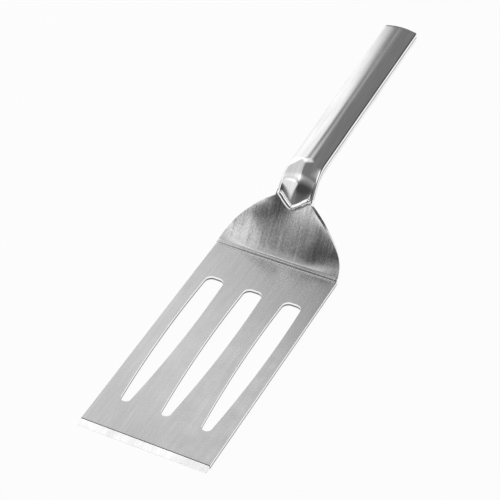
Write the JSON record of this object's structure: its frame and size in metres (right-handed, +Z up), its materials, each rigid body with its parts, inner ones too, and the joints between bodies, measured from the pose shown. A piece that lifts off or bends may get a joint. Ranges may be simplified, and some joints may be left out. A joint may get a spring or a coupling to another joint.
{
  "type": "slotted spatula",
  "caption": "All-steel slotted spatula: flat blade with long slots and a bevelled front edge, a raised dished neck and a polished hollow handle, for lifting and turning food.",
  "frame": {"origin": "bottom centre of the part's box: on the plane of the blade's underside, at the middle of its length and width", "axes": "+X along the tool from the blade's front edge to the butt of the handle, +Y across the blade, +Z up from the resting plane"},
  "size_m": [0.3342, 0.0762, 0.0558],
  "materials": {
    "brushed_blade": "fine brushed stainless steel",
    "polished_handle": "mirror-polished stainless steel",
    "ground_weld": "weld bead, ground and polished"
  },
  "bodies": {
    "root": {"blade": "brushed_blade", "handle_upper_shell": "polished_handle", "handle_lower_shell": "polished_handle", "seam_weld": "ground_weld", "neck_weld_top": "ground_weld", "neck_weld_bottom": "ground_weld"}
  },
  "joints": []
}
